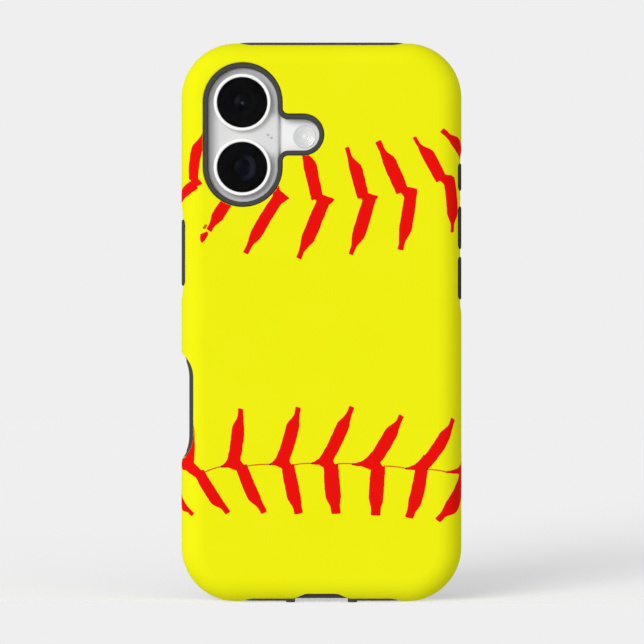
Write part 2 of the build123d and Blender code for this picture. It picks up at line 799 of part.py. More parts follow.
with BuildPart() as image_sensors:
    with BuildSketch(rear_view(bore_floor)):
        with Locations(*[(lens_x, height) for height in lens_heights.values()]):
            Rectangle(sensor_width, sensor_height)
    extrude(amount=sensor_depth)
save(image_sensors, "image_sensors")

# Flash and rear microphone, held on the inside of the back glass
with BuildPart() as flash_lens:
    with BuildSketch(rear_view(phone_back - flash_proud + flash_depth)):
        with Locations((flash_x, flash_z)):
            Circle(flash_radius)
    extrude(amount=flash_depth)
save(flash_lens, "flash_lens")

with BuildPart() as flash_led:
    with BuildSketch(rear_view(glass_inner + carrier_depth)):
        with Locations((flash_x, flash_z)):
            Circle(flash_radius + carrier_margin)
    extrude(amount=carrier_depth)
    with BuildSketch(rear_view(glass_inner)):
        with Locations((flash_x, flash_z)):
            Rectangle(led_size, led_size)
    extrude(amount=led_depth)
save(flash_led, "flash_led")

with BuildPart() as rear_microphone:
    with BuildSketch(rear_view(glass_inner + mic_depth)):
        with Locations((mic_x, mic_z)):
            Rectangle(mic_width, mic_height)
    extrude(amount=mic_depth)
save(rear_microphone, "rear_microphone")

# Charging coil and its ring of alignment magnets, on the inside of the back glass
with BuildPart() as charging_coil:
    with BuildSketch(rear_view(glass_inner + coil_depth)):
        with Locations((0, middle_height)):
            Circle(coil_outer_radius)
            Circle(coil_inner_radius, mode=Mode.SUBTRACT)
    extrude(amount=coil_depth)
save(charging_coil, "charging_coil")

with BuildPart() as alignment_magnets:
    with BuildSketch(rear_view(glass_inner + magnet_depth)):
        with Locations((0, middle_height)):
            Circle(magnet_outer_radius)
            Circle(magnet_inner_radius, mode=Mode.SUBTRACT)
            with PolarLocations(magnet_outer_radius, magnet_count):
                gap_length = 2 * (magnet_outer_radius - magnet_inner_radius + fit_gap)
                Rectangle(gap_length, magnet_gap, mode=Mode.SUBTRACT)
    extrude(amount=magnet_depth)
save(alignment_magnets, "alignment_magnets")

# Battery and logic board, lying on the frame's plate
with BuildPart() as battery:
    with BuildSketch(rear_view(midplate_back)):
        with Locations((battery_left, battery_bottom)):
            battery_size = battery_right - battery_left, battery_top - battery_bottom
            Rectangle(*battery_size, align=(Align.MIN, Align.MIN))
    extrude(amount=midplate_back - glass_inner - magnet_depth - layer_gap)
    fillet(battery.edges().filter_by(Axis.Y), frame_edge)
save(battery, "battery")

with BuildPart() as logic_board:
    with BuildSketch(rear_view(midplate_back)):
        with Locations((board_right, board_top)):
            board_height = board_top - phone_bottom - board_from_bottom
            Rectangle(board_width, board_height, align=(Align.MAX, Align.MAX))
            Rectangle(board_arm_width, board_top - battery_top - battery_gap, align=(Align.MAX, Align.MAX))
    extrude(amount=board_depth)
save(logic_board, "logic_board")

with BuildPart() as board_shield:
    shield_floor = midplate_back - board_depth
    shield_width = board_width - 2 * shield_margin
    with BuildSketch(rear_view(shield_floor)):
        shield_bottom = phone_bottom + board_from_bottom + shield_margin
        with Locations((board_right - board_width / 2, shield_bottom + shield_height / 2)):
            Rectangle(shield_width, shield_height)
    extrude(amount=shield_depth)
    with BuildSketch(rear_view(shield_floor)):
        with Locations((board_right - board_width / 2, shield_bottom + shield_height / 2)):
            Rectangle(shield_width - 2 * shield_wall, shield_height - 2 * shield_wall)
    extrude(amount=shield_depth - shield_wall, mode=Mode.SUBTRACT)
save(board_shield, "board_shield")

# Loudspeaker, earpiece, bottom microphone and the front camera with its depth sensor
with BuildPart() as loudspeaker:
    with BuildSketch(rear_view(midplate_back)) as speaker_face:
        with Locations((speaker_box_right, pocket_bottom + speaker_box_gap)):
            Rectangle(speaker_box_width, speaker_box_height, align=(Align.MAX, Align.MIN))
        corner = speaker_face.vertices().group_by(Axis.X)[-1].sort_by(Axis.Y)[0]
        fillet(corner, phone_corner - frame_wall - speaker_box_gap)
    extrude(amount=speaker_box_depth)
save(loudspeaker, "loudspeaker")

with BuildPart() as earpiece_speaker:
    with BuildSketch(rear_view(midplate_back)):
        with Locations((0, pocket_top)):
            Rectangle(earpiece_box_width, earpiece_box_height, align=(Align.CENTER, Align.MAX))
    extrude(amount=earpiece_box_depth)
save(earpiece_speaker, "earpiece_speaker")

with BuildPart() as speaker_meshes:
    mesh_width = 2 * (speaker_hole_radius + speaker_mesh_margin)
    with BuildSketch(Plane.XY.offset(pocket_bottom)):
        with Locations((-speaker_middle, phone_middle), (speaker_middle, phone_middle)):
            SlotOverall((speaker_holes - 1) * speaker_pitch + mesh_width, mesh_width)
    extrude(amount=speaker_mesh_depth)
save(speaker_meshes, "speaker_meshes")

with BuildPart() as bottom_microphone:
    with BuildSketch(Plane.XY.offset(pocket_bottom + speaker_mesh_depth)):
        with Locations((-speaker_middle, phone_middle)):
            Rectangle(bottom_mic_width, bottom_mic_depth)
    extrude(amount=bottom_mic_height)
save(bottom_microphone, "bottom_microphone")

for name, side in (("front_camera", 1), ("depth_sensor", -1)):
    with BuildPart() as front_unit:
        with BuildSketch(rear_view(midplate_back)):
            with Locations((side * front_camera_offset, front_camera_z)):
                Circle(front_body_radius)
        extrude(amount=front_body_depth)
        with BuildSketch(rear_view(panel_front)):
            with Locations((side * front_camera_offset, front_camera_z)):
                Circle(front_lens_radius)
        extrude(amount=panel_front - midplate_back)
    save(front_unit, name)

# Vibration motor: a can on the frame's plate, and the mass that slides inside it
haptic_x = haptic_from_side - phone_flank + haptic_width / 2
haptic_z = phone_bottom + haptic_from_bottom + haptic_height / 2
haptic_room = haptic_depth - haptic_wall
with BuildPart() as haptic_case:
    with BuildSketch(rear_view(midplate_back)):
        with Locations((haptic_x, haptic_z)):
            Rectangle(haptic_width, haptic_height)
    extrude(amount=haptic_depth)
    with BuildSketch(rear_view(midplate_back)):
        with Locations((haptic_x, haptic_z)):
            Rectangle(haptic_width - 2 * haptic_wall, haptic_height - 2 * haptic_wall)
    extrude(amount=haptic_room, mode=Mode.SUBTRACT)
save(haptic_case, "haptic_case")

with BuildPart() as haptic_mass:
    end_room = haptic_wall + haptic_travel + haptic_clearance
    side_room = haptic_wall + haptic_clearance
    with BuildSketch(rear_view(midplate_back - haptic_clearance)):
        with Locations((haptic_x, haptic_z)):
            Rectangle(haptic_width - 2 * end_room, haptic_height - 2 * side_room)
    extrude(amount=haptic_room - 2 * haptic_clearance)
save(haptic_mass, "haptic_mass")

# Charging port and the screws beside it
port_back = phone_bottom + port_length
with BuildPart() as charging_port:
    extrude(port_outline(phone_bottom, port_wall), amount=port_length)
    extrude(port_outline(phone_bottom, 0), amount=port_length - port_wall, mode=Mode.SUBTRACT)
save(charging_port, "charging_port")

with BuildPart() as port_tongue:
    with BuildSketch(Plane.XY.offset(port_back - port_wall - tongue_length)):
        with Locations((0, phone_middle)):
            Rectangle(tongue_width, tongue_height)
    extrude(amount=tongue_length)
save(port_tongue, "port_tongue")

with BuildPart() as bottom_screws:
    with BuildSketch(Plane.XY.offset(phone_bottom)):
        with Locations((-screw_offset, phone_middle), (screw_offset, phone_middle)):
            Circle(screw_head_radius)
    extrude(amount=screw_head_depth)
    with BuildSketch(Plane.XY.offset(phone_bottom + screw_head_depth)):
        with Locations((-screw_offset, phone_middle), (screw_offset, phone_middle)):
            Circle(screw_radius)
    extrude(amount=screw_length - screw_head_depth)
    with BuildSketch(Plane.XY.offset(phone_bottom)):
        with Locations((-screw_offset, phone_middle), (screw_offset, phone_middle)):
            RegularPolygon(screw_radius, 5)
    extrude(amount=screw_head_depth / 2, mode=Mode.SUBTRACT)
save(bottom_screws, "bottom_screws")
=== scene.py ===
import bmesh
import bpy
import math
import numpy as np
from collections import namedtuple
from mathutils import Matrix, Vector, noise
from mathutils.bvhtree import BVHTree


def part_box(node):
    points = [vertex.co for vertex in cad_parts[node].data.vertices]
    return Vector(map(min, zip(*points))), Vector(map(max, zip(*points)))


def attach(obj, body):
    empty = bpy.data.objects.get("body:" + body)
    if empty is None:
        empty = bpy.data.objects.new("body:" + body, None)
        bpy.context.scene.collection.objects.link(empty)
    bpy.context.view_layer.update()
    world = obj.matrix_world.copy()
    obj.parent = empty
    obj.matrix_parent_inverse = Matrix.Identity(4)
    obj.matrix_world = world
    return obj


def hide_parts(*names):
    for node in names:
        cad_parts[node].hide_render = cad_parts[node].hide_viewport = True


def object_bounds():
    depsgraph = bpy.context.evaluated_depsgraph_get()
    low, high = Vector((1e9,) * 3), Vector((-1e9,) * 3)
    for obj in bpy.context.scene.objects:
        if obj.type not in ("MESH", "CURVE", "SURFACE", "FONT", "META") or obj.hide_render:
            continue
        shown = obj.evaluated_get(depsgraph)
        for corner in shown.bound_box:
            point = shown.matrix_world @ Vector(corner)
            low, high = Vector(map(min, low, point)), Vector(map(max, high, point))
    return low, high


# A smartphone in a two-layer case whose hard shell is printed with a ball's red stitching.
# The frame is the CAD frame: X right as seen from behind, Y from the back to the screen, Z up.

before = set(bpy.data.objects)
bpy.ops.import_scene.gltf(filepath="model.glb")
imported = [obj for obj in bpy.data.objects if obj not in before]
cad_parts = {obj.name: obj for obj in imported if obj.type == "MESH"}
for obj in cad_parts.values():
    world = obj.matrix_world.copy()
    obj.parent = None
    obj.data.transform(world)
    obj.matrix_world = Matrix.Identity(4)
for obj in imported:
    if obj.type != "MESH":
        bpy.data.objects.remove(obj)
cad_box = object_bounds()

MM = 0.001
BODY = "phone_and_case"

# How far the camera plateau's middle lies to the right of the lenses, in mm
plateau_shift = 0.19


# Material tools

def new_material(name):
    """A material with a Principled shader: the material, its node tree and the shader."""
    material = bpy.data.materials.new(name)
    material.use_nodes = True
    tree = material.node_tree
    return material, tree, tree.nodes["Principled BSDF"]


def add_node(tree, kind, **inputs):
    """A node of a kind, with some of its inputs set. Underscores in a name stand for spaces."""
    node = tree.nodes.new(kind)
    for name, value in inputs.items():
        node.inputs[name.replace("_", " ")].default_value = value
    return node


def place(tree, stretch=(1, 1, 1)):
    """The surface point in the frame's metres, stretched along the axes."""
    coordinates = tree.nodes.new("ShaderNodeTexCoord")
    mapping = add_node(tree, "ShaderNodeMapping", Scale=stretch)
    tree.links.new(coordinates.outputs["Object"], mapping.inputs["Vector"])
    return mapping.outputs["Vector"]


def noise_at(tree, where, scale, detail=3.0):
    """Noise with a scale in features per metre."""
    texture = add_node(tree, "ShaderNodeTexNoise", Scale=scale, Detail=detail)
    tree.links.new(where, texture.inputs["Vector"])
    return texture.outputs["Fac"]


def remap(tree, value, low, high, to_low, to_high):
    """A value carried from one range to another, and held inside it."""
    node = add_node(tree, "ShaderNodeMapRange", From_Min=low, From_Max=high, To_Min=to_low, To_Max=to_high)
    tree.links.new(value, node.inputs["Value"])
    return node.outputs["Result"]


def from_noise(tree, value, to_low, to_high):
    """Noise, which seldom leaves its middle range, carried to another range."""
    noise_low, noise_high = 0.3, 0.7
    return remap(tree, value, noise_low, noise_high, to_low, to_high)


def split_axes(tree, where):
    """The outputs X, Y and Z of a linked vector."""
    split = tree.nodes.new("ShaderNodeSeparateXYZ")
    tree.links.new(where, split.inputs["Vector"])
    return split.outputs


def combine(tree, operation, first, second):
    """Two linked values combined by a math operation."""
    node = tree.nodes.new("ShaderNodeMath")
    node.operation = operation
    tree.links.new(first, node.inputs[0])
    tree.links.new(second, node.inputs[1])
    return node.outputs["Value"]


def blend_tones(tree, factor, first, second):
    """A colour that runs from the first tone to the second. A tone is a colour or a linked output."""
    mix = tree.nodes.new("ShaderNodeMix")
    mix.data_type = "RGBA"
    tree.links.new(factor, mix.inputs["Factor"])
    for socket, tone in ((mix.inputs[6], first), (mix.inputs[7], second)):
        if isinstance(tone, tuple):
            socket.default_value = (*tone, 1.0)
        else:
            tree.links.new(tone, socket)
    return mix.outputs[2]


def add_bump(tree, shader, height, depth):
    """Bump of a depth in metres from a height between 0 and 1."""
    bump = add_node(tree, "ShaderNodeBump", Strength=1.0, Distance=depth)
    tree.links.new(height, bump.inputs["Height"])
    tree.links.new(bump.outputs["Normal"], shader.inputs["Normal"])


Finish = namedtuple(
    "Finish",
    "first second roughness metallic specular patches grain depth stretch alpha",
    defaults=(0.0, 0.5, 90.0, 2500.0, 0.004, (1, 1, 1), 1.0),
)


def finish_material(name, finish):
    """Two tones in soft patches, a roughness that varies with them, and a fine grain."""
    roughness_spread = 0.12
    grain_detail = 2.0
    material, tree, shader = new_material(name)
    where = place(tree, finish.stretch)
    patches = noise_at(tree, where, finish.patches)
    tone = blend_tones(tree, from_noise(tree, patches, 0.0, 1.0), finish.first, finish.second)
    tree.links.new(tone, shader.inputs["Base Color"])
    spread = roughness_spread * finish.roughness
    rough = from_noise(tree, patches, finish.roughness - spread, finish.roughness + spread)
    tree.links.new(rough, shader.inputs["Roughness"])
    shader.inputs["Metallic"].default_value = finish.metallic
    shader.inputs["Specular IOR Level"].default_value = finish.specular
    shader.inputs["Alpha"].default_value = finish.alpha
    add_bump(tree, shader, noise_at(tree, where, finish.grain, grain_detail), finish.depth * MM)
    return material


# Finishes: two linear tones, roughness, metallic, specular level, patches and grain per metre, the grain's
# depth in mm, how both are stretched along the axes, and how opaque the surface is
brushed_upright = (1, 1, 0.04)
finishes = {
    "shell": Finish((0.805, 0.805, 0.005), (0.820, 0.820, 0.007), 0.42, 0.0, 0.005, 60.0, 2600.0, 0.003),
    "ink": Finish((0.800, 0.0050, 0.0045), (0.765, 0.0065, 0.0040), 0.40, 0.0, 0.005, 300.0, 2600.0, 0.003),
    "thread_ink": Finish((0.670, 0.165, 0.002), (0.600, 0.120, 0.002), 0.45, 0.0, 0.02, 500.0, 2600.0, 0.003),
    "liner": Finish((0.031, 0.030, 0.032), (0.043, 0.041, 0.043), 0.68, 0.0, 0.35, 140.0, 3800.0, 0.012),
    # The right-hand pads take a darker copy of the liner's rubber: painted shade
    "painted_shade_pad": Finish((0.015, 0.015, 0.015), (0.021, 0.020, 0.021), 0.68, 0.0, 0.2, 140.0, 3800.0, 0.012),
    "frame": Finish(
        (0.78, 0.79, 0.80), (0.70, 0.71, 0.72), 0.30, 1.0, 0.5, 700.0, 9000.0, 0.002, brushed_upright,
    ),
    "insert": Finish((0.66, 0.67, 0.67), (0.70, 0.71, 0.71), 0.45),
    "lens_ring": Finish((0.93, 0.925, 0.91), (0.90, 0.89, 0.875), 0.25, 0.0, 0.6, 200.0, 5000.0, 0.001),
    "lens_cover": Finish(
        (0.002, 0.002, 0.003), (0.003, 0.003, 0.005), 0.04, 0.0, 0.25, 90.0, 900.0, 0.0005, alpha=0.10,
    ),
    "lens_mask": Finish((0.0012, 0.0012, 0.0014), (0.0020, 0.0020, 0.0023), 0.60, 0.0, 0.01),
    "display_glass": Finish(
        (0.004, 0.004, 0.005), (0.006, 0.006, 0.007), 0.05, 0.0, 0.5, 60.0, 800.0, 0.0005, alpha=0.20,
    ),
    "gasket": Finish((0.010, 0.010, 0.010), (0.016, 0.016, 0.016), 0.70),
    "mesh": Finish((0.05, 0.05, 0.05), (0.10, 0.10, 0.10), 0.45, 0.8, 0.5, 3000.0, 6000.0, 0.05),
    "mic_mesh": Finish((0.50, 0.50, 0.49), (0.40, 0.40, 0.40), 0.60, 0.0, 0.3, 2000.0, 9000.0, 0.02),
    "black_plastic": Finish((0.010, 0.010, 0.011), (0.018, 0.018, 0.019), 0.50),
    "camera_metal": Finish((0.32, 0.32, 0.33), (0.24, 0.24, 0.25), 0.35, 1.0),
    "sensor": Finish((0.03, 0.02, 0.05), (0.02, 0.05, 0.05), 0.15, 0.3, 0.5, 1500.0),
    "flash_carrier": Finish((0.86, 0.84, 0.74), (0.90, 0.86, 0.55), 0.40, 0.0, 0.5, 500.0),
    "key": Finish(
        (0.76, 0.77, 0.78), (0.68, 0.69, 0.70), 0.28, 1.0, 0.5, 700.0, 9000.0, 0.002, brushed_upright,
    ),
    "battery": Finish((0.020, 0.020, 0.022), (0.030, 0.030, 0.032), 0.50, 0.0, 0.5, 40.0, 900.0, 0.02),
    "board": Finish((0.006, 0.045, 0.040), (0.010, 0.065, 0.050), 0.35, 0.0, 0.5, 900.0, 2500.0, 0.02),
    "shield": Finish((0.62, 0.62, 0.60), (0.52, 0.52, 0.50), 0.34, 1.0, 0.5, 150.0, 1500.0, 0.006),
    "coil": Finish((0.60, 0.24, 0.10), (0.50, 0.18, 0.07), 0.32, 1.0, 0.5, 900.0),
    "magnet": Finish((0.50, 0.50, 0.49), (0.42, 0.42, 0.41), 0.30, 1.0),
    "haptic_can": Finish((0.56, 0.56, 0.55), (0.48, 0.48, 0.47), 0.32, 1.0),
    "haptic_mass": Finish((0.20, 0.20, 0.21), (0.15, 0.15, 0.16), 0.38, 1.0),
    "port": Finish((0.42, 0.42, 0.43), (0.34, 0.34, 0.35), 0.30, 1.0),
    "screw": Finish((0.70, 0.70, 0.71), (0.60, 0.60, 0.61), 0.25, 1.0),
}
materials = {name: finish_material(name, finish) for name, finish in finishes.items()}


def middle_of(node):
    """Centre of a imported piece's box."""
    low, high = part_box(node)
    return (low + high) / 2


def near_point(tree, where, point, inner, outer):
    """1 within the inner distance in mm of a point, falling to 0 at the outer distance."""
    reach = add_node(tree, "ShaderNodeVectorMath")
    reach.operation = "DISTANCE"
    reach.inputs[1].default_value = point
    tree.links.new(where, reach.inputs[0])
    return remap(tree, reach.outputs["Value"], inner * MM, outer * MM, 1.0, 0.0)


def back_glass_material():
    """Satin white glass, with a plainer tone on the raised plateau, and painted shade that darkens the
    plateau towards its rim.
    """
    sheet_back, plateau_top = -2.9, -4.1
    # Painted shade on the plateau: it darkens between these distances in mm from the lens axis, then lightens
    # again towards its rim
    painted_shade_start, painted_shade_full = 6.3, 8.3
    painted_rim_start, painted_rim_full = 8.5, 9.4
    lobe_offset, lobe_clear, lobe_edge = 9.5, 4.6, 6.4
    smudge_share = 0.08
    sheet_tone, plateau_tone = (0.88, 0.885, 0.88), (0.680, 0.680, 0.678)
    painted_shade_tone, painted_rim_tone = (0.40, 0.40, 0.40), (0.62, 0.62, 0.62)
    smudge_tone = (0.60, 0.62, 0.63)
    material, tree, shader = new_material("back_glass")
    where = place(tree)
    axes = split_axes(tree, where)
    raised = remap(tree, axes["Y"], sheet_back * MM, plateau_top * MM, 0.0, 1.0)
    lens_low, lens_high = middle_of("lower_lens_cover"), middle_of("upper_lens_cover")
    nearest = tree.nodes.new("ShaderNodeClamp")
    nearest.inputs["Min"].default_value = lens_low.z
    nearest.inputs["Max"].default_value = lens_high.z
    tree.links.new(axes["Z"], nearest.inputs["Value"])
    axis_point = add_node(tree, "ShaderNodeCombineXYZ", X=lens_low.x + plateau_shift * MM)
    tree.links.new(axes["Y"], axis_point.inputs["Y"])
    tree.links.new(nearest.outputs["Result"], axis_point.inputs["Z"])
    reach = tree.nodes.new("ShaderNodeVectorMath")
    reach.operation = "DISTANCE"
    tree.links.new(where, reach.inputs[0])
    tree.links.new(axis_point.outputs["Vector"], reach.inputs[1])
    # Painted shade falls in a band round the lenses, and is cleared beside the flash's lobe
    painted_shade = remap(tree, reach.outputs["Value"], painted_shade_start * MM, painted_shade_full * MM, 0.0, 1.0)
    lobe_mouth = (lens_low.x + (plateau_shift + lobe_offset) * MM, 0, (lens_low.z + lens_high.z) / 2)
    beside_lobe = near_point(tree, place(tree, (1, 0, 1)), lobe_mouth, lobe_clear, lobe_edge)
    painted_shade = combine(tree, "MULTIPLY", painted_shade, remap(tree, beside_lobe, 0.0, 1.0, 1.0, 0.0))
    painted_rim = remap(tree, reach.outputs["Value"], painted_rim_start * MM, painted_rim_full * MM, 0.0, 1.0)
    painted_shade_band = blend_tones(tree, painted_rim, painted_shade_tone, painted_rim_tone)
    plateau_with_painted_shade = blend_tones(tree, painted_shade, plateau_tone, painted_shade_band)
    base = blend_tones(tree, raised, sheet_tone, plateau_with_painted_shade)
    smudges = from_noise(tree, noise_at(tree, where, scale=120.0), 0.0, smudge_share)
    tree.links.new(blend_tones(tree, smudges, base, smudge_tone), shader.inputs["Base Color"])
    tree.links.new(remap(tree, smudges, 0.0, smudge_share, 0.24, 0.34), shader.inputs["Roughness"])
    add_bump(tree, shader, noise_at(tree, where, scale=5000.0), 0.001 * MM)
    return material


def barrel_material(name, painted_reflection_tone):
    """Matt black barrel, with a painted reflection on the right of its mouth's cone."""
    mouth_start, mouth_full = 0.02, 0.12
    painted_reflection_start, painted_reflection_full = -0.5, 2.0
    material, tree, shader = new_material(name)
    where = place(tree)
    axes = split_axes(tree, where)
    patches = noise_at(tree, where, scale=900.0)
    black = blend_tones(tree, patches, (0.0010, 0.0010, 0.0012), (0.0020, 0.0020, 0.0024))
    barrel_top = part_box("lower_lens_barrel")[0].y
    mouth = remap(tree, axes["Y"], barrel_top + mouth_start * MM, barrel_top + mouth_full * MM, 0.0, 1.0)
    middle = middle_of("lower_lens_barrel").x
    # Painted reflection: the right of the mouth's cone takes the reflection tone
    right = remap(tree, axes["X"], middle + painted_reflection_start * MM, middle + painted_reflection_full * MM, 0.0, 1.0)
    painted_reflection = blend_tones(tree, combine(tree, "MULTIPLY", mouth, right), black, painted_reflection_tone)
    tree.links.new(painted_reflection, shader.inputs["Base Color"])
    tree.links.new(from_noise(tree, patches, 0.50, 0.62), shader.inputs["Roughness"])
    shader.inputs["Specular IOR Level"].default_value = 0.01
    return material


def element_material(name, painted_glints):
    """Coated lens: nearly black, with a blue coat whose strength drifts across it, and faint painted glints.
    """
    material, tree, shader = new_material(name)
    where = place(tree)
    drift = noise_at(tree, where, scale=250.0, detail=1.0)
    tone = blend_tones(tree, drift, (0.0006, 0.0010, 0.0016), (0.0012, 0.0016, 0.0036))
    flat = place(tree, (1, 0, 1))
    # Each painted glint is a soft spot of its own tone
    for centre, inner, outer, glint in painted_glints:
        tone = blend_tones(tree, near_point(tree, flat, centre, inner, outer), tone, glint)
    tree.links.new(tone, shader.inputs["Base Color"])
    tree.links.new(from_noise(tree, drift, 0.05, 0.12), shader.inputs["Roughness"])
    shader.inputs["Specular Tint"].default_value = (0.45, 0.55, 1.0, 1.0)
    shader.inputs["Specular IOR Level"].default_value = 0.04
    return material


def rounded_area(tree, flat, centre, half_width, half_height, corner):
    """1 inside a rounded rectangle seen along Y, 0 outside it. Sizes in mm."""
    half_blur = 0.05
    steps = [
        ("SUBTRACT", centre),
        ("ABSOLUTE", None),
        ("SUBTRACT", ((half_width - corner) * MM, 0, (half_height - corner) * MM)),
        ("MAXIMUM", (0, 0, 0)),
    ]
    for operation, constant in steps:
        step = tree.nodes.new("ShaderNodeVectorMath")
        step.operation = operation
        tree.links.new(flat, step.inputs[0])
        if constant is not None:
            step.inputs[1].default_value = constant
        flat = step.outputs["Vector"]
    return near_point(tree, flat, (0, 0, 0), corner - half_blur, corner + half_blur)


def display_material():
    """Dark screen: a paler picture area in a black border, and a black pill round the front cameras."""
    border, picture_corner = 1.3, 8.0
    pill_half_length, pill_radius = 7.6, 3.1
    black = (0.0015, 0.0015, 0.0018)
    material, tree, shader = new_material("display_panel")
    flat = place(tree, (1, 0, 1))
    low, high = (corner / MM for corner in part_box("display_panel"))
    panel, pill = middle_of("display_panel"), middle_of("front_camera")
    half_width, half_height = high.x - border, (high.z - low.z) / 2 - border
    picture = rounded_area(tree, flat, (panel.x, 0, panel.z), half_width, half_height, picture_corner)
    hidden = rounded_area(tree, flat, (panel.x, 0, pill.z), pill_half_length, pill_radius, pill_radius)
    patches = noise_at(tree, place(tree), scale=60.0)
    tone = blend_tones(tree, patches, (0.030, 0.031, 0.036), (0.036, 0.037, 0.043))
    tone = blend_tones(tree, picture, black, tone)
    tree.links.new(blend_tones(tree, hidden, tone, black), shader.inputs["Base Color"])
    tree.links.new(from_noise(tree, patches, 0.18, 0.24), shader.inputs["Roughness"])
    return material


def flash_material():
    """Clear frosted plastic of the flash's ringed lens, with painted light paler to the right and a painted
    highlight brightest in the middle.
    """
    painted_light_start, painted_light_full = -2.2, 1.6
    painted_highlight_full, painted_highlight_edge = 0.15, 0.75
    painted_light_tone, painted_highlight_tone = (0.94, 0.94, 0.92), (1.0, 0.99, 0.95)
    material, tree, shader = new_material("flash_lens")
    where = place(tree)
    patches = noise_at(tree, where, scale=900.0)
    tone = blend_tones(tree, patches, (0.73, 0.75, 0.75), (0.77, 0.78, 0.77))
    centre = middle_of("flash_lens")
    across = split_axes(tree, where)["X"]
    # Painted light, paler to the right
    right = remap(tree, across, centre.x + painted_light_start * MM, centre.x + painted_light_full * MM, 0.0, 1.0)
    tone = blend_tones(tree, right, tone, painted_light_tone)
    flat = place(tree, (1, 0, 1))
    # Painted highlight, brightest in the middle
    middle = near_point(tree, flat, (centre.x, 0, centre.z), painted_highlight_full, painted_highlight_edge)
    tone = blend_tones(tree, middle, tone, painted_highlight_tone)
    tree.links.new(tone, shader.inputs["Base Color"])
    tree.links.new(from_noise(tree, patches, 0.10, 0.20), shader.inputs["Roughness"])
    shader.inputs["Alpha"].default_value = 0.85
    return material


materials["back_glass"] = back_glass_material()
# Each barrel's mouth has a painted reflection on its right: faint on the upper lens, blue on the lower
materials["upper_barrel"] = barrel_material("upper_barrel", (0.0030, 0.0030, 0.0028))
materials["lower_barrel"] = barrel_material("lower_barrel", (0.0130, 0.0155, 0.0290))

# Faint painted glints in the lenses: place, distances in mm between which they fade, and tone
upper_axis = middle_of("upper_lens_element")
warm_glint = (upper_axis.x - 1.25 * MM, 0, upper_axis.z + 0.55 * MM)
small_glint = (upper_axis.x, 0, upper_axis.z - 0.05 * MM)
low_glint = (upper_axis.x + 0.45 * MM, 0, upper_axis.z - 0.65 * MM)
materials["upper_element"] = element_material("upper_element", [
    (warm_glint, 0.25, 0.75, (0.026, 0.021, 0.013)),
    (small_glint, 0.12, 0.30, (0.200, 0.245, 0.235)),
    (low_glint, 0.08, 0.22, (0.030, 0.050, 0.050)),
])
lower_axis = middle_of("lower_lens_element")
blue_glint = (lower_axis.x + 2.3 * MM, 0, lower_axis.z - 0.3 * MM)
materials["lower_element"] = element_material("lower_element", [
    (blue_glint, 0.3, 1.6, (0.011, 0.013, 0.026)),
])

materials["flash_lens"] = flash_material()
materials["display_panel"] = display_material()


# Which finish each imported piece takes

keys = ["power_key", "action_key", "volume_up_key", "volume_down_key", "camera_key"]
lens_places = ["upper", "lower"]
finish_nodes = {
    "shell": ["outer_shell"],
    "liner": ["inner_liner", "power_pad"],
    # Painted shade: the right-hand pads get the darker copy of the liner
    "painted_shade_pad": ["action_pad", "volume_up_pad", "volume_down_pad"],
    "frame": ["phone_frame"],
    "insert": ["antenna_inserts"],
    "back_glass": ["back_glass"],
    "display_glass": ["display_glass"],
    "display_panel": ["display_panel"],
    "gasket": ["display_gasket"],
    "mesh": ["earpiece_mesh", "speaker_meshes"],
    "lens_ring": [f"{place_name}_lens_ring" for place_name in lens_places],
    "lens_cover": [f"{place_name}_lens_cover" for place_name in lens_places],
    "upper_barrel": ["upper_lens_barrel"],
    "lower_barrel": ["lower_lens_barrel"],
    "upper_element": ["upper_lens_element"],
    "lower_element": ["lower_lens_element"],
    "camera_metal": [f"{place_name}_camera_housing" for place_name in lens_places],
    "sensor": ["image_sensors"],
    "flash_lens": ["flash_lens"],
    "flash_carrier": ["flash_led"],
    "key": keys,
    "mic_mesh": ["rear_microphone"],
    "black_plastic": [
        "bottom_microphone", "button_switches", "loudspeaker", "earpiece_speaker",
        "front_camera", "depth_sensor", "port_tongue",
    ],
    "battery": ["battery"],
    "board": ["logic_board"],
    "shield": ["board_shield"],
    "coil": ["charging_coil"],
    "magnet": ["alignment_magnets"],
    "haptic_can": ["haptic_case"],
    "haptic_mass": ["haptic_mass"],
    "port": ["charging_port"],
    "screw": ["bottom_screws"],
}
for finish_name, node_names in finish_nodes.items():
    for node_name in node_names:
        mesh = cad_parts[node_name].data
        mesh.materials.clear()
        mesh.materials.append(materials[finish_name])


def add_object(name, mesh_maker, material):
    """An object in the scene from a bmesh, with its material."""
    mesh = bpy.data.meshes.new(name)
    mesh_maker.to_mesh(mesh)
    mesh_maker.free()
    mesh.materials.append(material)
    made = bpy.data.objects.new(name, mesh)
    bpy.context.scene.collection.objects.link(made)
    return made


def add_piece(name, mesh_maker, material, body):
    """A piece of the phone or case from a bmesh, with a named material, riding on a body."""
    piece = add_object(name, mesh_maker, materials[material])
    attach(piece, body)
    return piece


# The printed stitching: thin ink on the shell, drawn on its unrolled surface in millimetres

shell_low, shell_high = (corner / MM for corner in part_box("outer_shell"))
shell_flank = shell_high.x
shell_back = shell_low.y
edge_round = 6.5
flat_half = shell_flank - edge_round
arc_length = edge_round * math.pi / 2
ink_lift = 0.02
ink_sink = 0.03
ink_cell = 0.25
fine_ink_cell = 0.125
probe_height = 1.0
deepest_print = 0.6
shallow_print = 0.05
corner_round = 0.3
edge_wobble = 0.10
thread_round = 0.17
thread_wobble = 0.03
thread_cell = 0.1

shell_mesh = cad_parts["outer_shell"].data
shell_points = [vertex.co / MM for vertex in shell_mesh.vertices]
shell_tree = BVHTree.FromPolygons(shell_points, [tuple(face.vertices) for face in shell_mesh.polygons])


